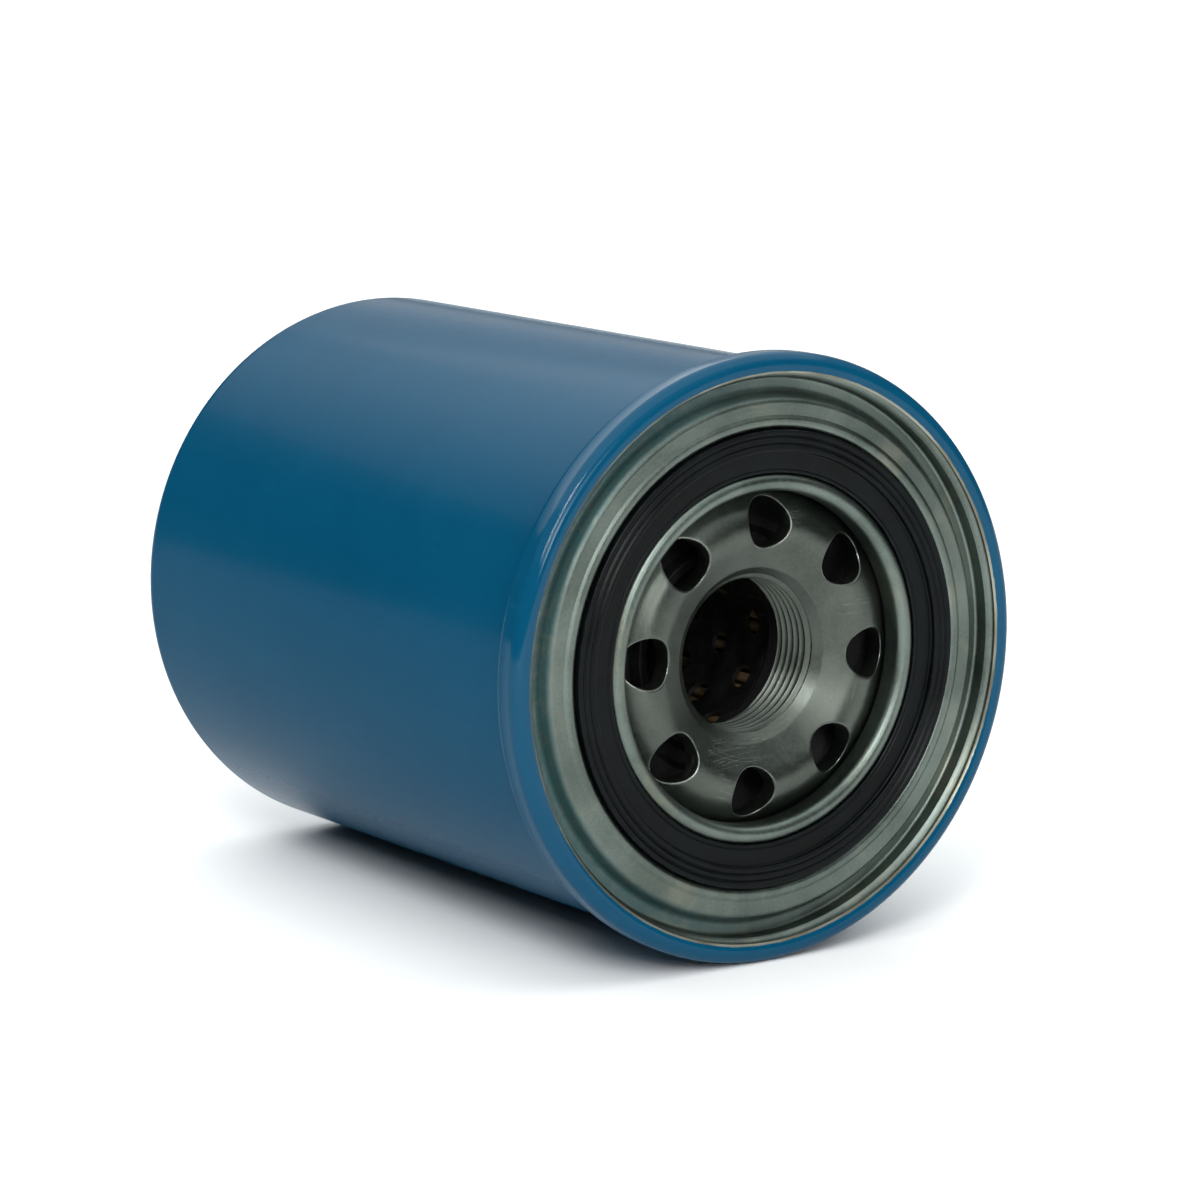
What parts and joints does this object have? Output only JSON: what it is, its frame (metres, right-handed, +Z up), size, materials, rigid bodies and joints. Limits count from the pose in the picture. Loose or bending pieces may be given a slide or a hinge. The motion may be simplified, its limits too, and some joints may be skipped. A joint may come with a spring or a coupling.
{
  "type": "oil filter",
  "caption": "Spin-on engine oil filter: painted can rolled onto a pressed lid, threaded plate with oil inlets, face gasket, pleated element and sprung valves inside.",
  "frame": {"origin": "on the thread's axis, in the plane where the gasket seals against the engine", "axes": "the filter lies on its side: -Y points out of its mouth towards the engine, +Y to its closed rear end, +Z up"},
  "size_m": [0.097, 0.1204, 0.097],
  "materials": {
    "blue_paint": "gloss",
    "zinc_plate": "satin",
    "pressed_steel": "satin",
    "gasket_rubber": "matte",
    "valve_rubber": "matte",
    "seal_rubber": "matte",
    "seam_compound": "satin",
    "tinned_steel": "satin",
    "filter_paper": "matte",
    "potting_resin": "satin",
    "spring_steel": "satin"
  },
  "bodies": {
    "housing": {"can": "blue_paint", "seaming_lid": "zinc_plate", "tapping_plate": "pressed_steel", "mounting_gasket": "gasket_rubber", "seam_sealant": "seam_compound", "drainback_valve_collar": "valve_rubber", "support_spring": "spring_steel"},
    "drainback_flap": {"drainback_valve_flap": "valve_rubber"},
    "element": {"mouth_end_cap": "tinned_steel", "dome_end_cap": "tinned_steel", "centre_tube": "pressed_steel", "filter_media": "filter_paper", "media_clip": "tinned_steel", "mouth_potting": "potting_resin", "dome_potting": "potting_resin", "bypass_valve_seat": "tinned_steel", "bypass_valve_cage": "tinned_steel", "bypass_valve_spring": "spring_steel", "spring_seat": "tinned_steel"},
    "bypass_poppet": {"bypass_valve_disc": "pressed_steel", "bypass_valve_seal": "seal_rubber", "bypass_valve_stem": "tinned_steel"}
  },
  "joints": [
    {"name": "element_float", "type": "slide", "parent": "housing", "child": "element", "axis": [0, 1, 0], "range_m": [0, 0.002], "stiffness_N_per_m": 10000, "springref_m": -0.01, "deforming": ["support_spring"]},
    {"name": "drainback_flap_lift", "type": "slide", "parent": "housing", "child": "drainback_flap", "axis": [0, 1, 0], "range_m": [0, 0.002], "stiffness_N_per_m": 150, "springref_m": -0.002},
    {"name": "bypass_valve_lift", "type": "slide", "parent": "element", "child": "bypass_poppet", "axis": [0, -1, 0], "range_m": [0, 0.004], "stiffness_N_per_m": 1500, "springref_m": -0.015, "deforming": ["bypass_valve_spring"]}
  ]
}
